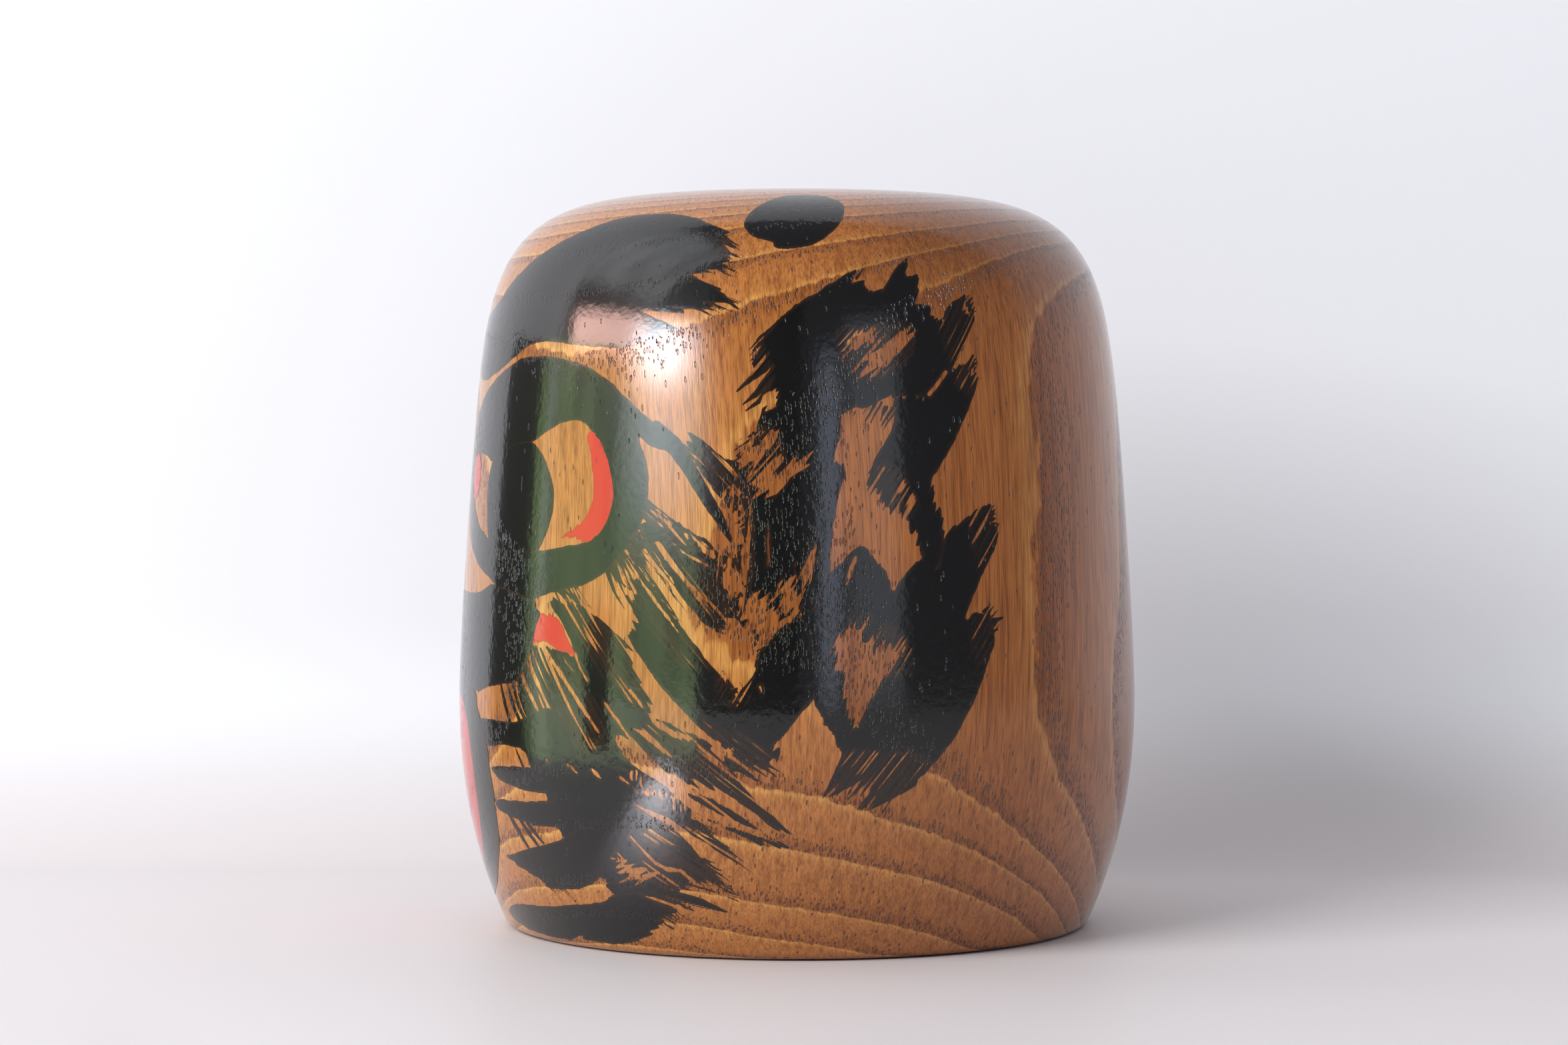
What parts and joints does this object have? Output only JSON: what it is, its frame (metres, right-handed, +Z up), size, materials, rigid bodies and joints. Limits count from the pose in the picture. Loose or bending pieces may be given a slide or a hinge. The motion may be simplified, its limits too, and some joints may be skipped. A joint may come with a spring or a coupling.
{
  "type": "daruma doll",
  "caption": "Barrel-shaped turned wood doll with a flat foot and rounded crown, brush-painted in black and red with brows, ringed eyes, nose, mouth and whiskers.",
  "frame": {"origin": "centre of the standing face, on the turning axis", "axes": "+Z up along the turning axis, the face looks along -Y, +X is the doll's own left"},
  "size_m": [0.1062, 0.1058, 0.1132],
  "materials": {
    "lacquered_wood": "glossy clear lacquer over open-pored wood",
    "black_paint": "glossy black brush lacquer",
    "red_paint": "glossy vermilion brush lacquer"
  },
  "bodies": {
    "root": {"beard_lower_left": "black_paint", "beard_lower_right": "black_paint", "beard_middle_left": "black_paint", "beard_middle_right": "black_paint", "beard_upper_left": "black_paint", "beard_upper_right": "black_paint", "brow_left": "black_paint", "brow_right": "black_paint", "chin_lower_left": "black_paint", "chin_lower_right": "black_paint", "chin_upper_left": "black_paint", "chin_upper_right": "black_paint", "crown_dot_left": "black_paint", "crown_dot_right": "black_paint", "ear_left": "black_paint", "ear_right": "black_paint", "eye_red_inner_left": "red_paint", "eye_red_inner_right": "red_paint", "eye_red_outer_left": "red_paint", "eye_red_outer_right": "red_paint", "eye_rim_left": "black_paint", "eye_rim_right": "black_paint", "mouth_red": "red_paint", "mouth_rim": "black_paint", "nose": "black_paint", "nostril_red_left": "red_paint", "nostril_red_right": "red_paint", "pupil_left": "black_paint", "pupil_right": "black_paint", "turned_body": "lacquered_wood", "whisker_lower_left": "black_paint", "whisker_lower_right": "black_paint", "whisker_middle_left": "black_paint", "whisker_middle_right": "black_paint", "whisker_upper_left": "black_paint", "whisker_upper_right": "black_paint"}
  },
  "joints": []
}
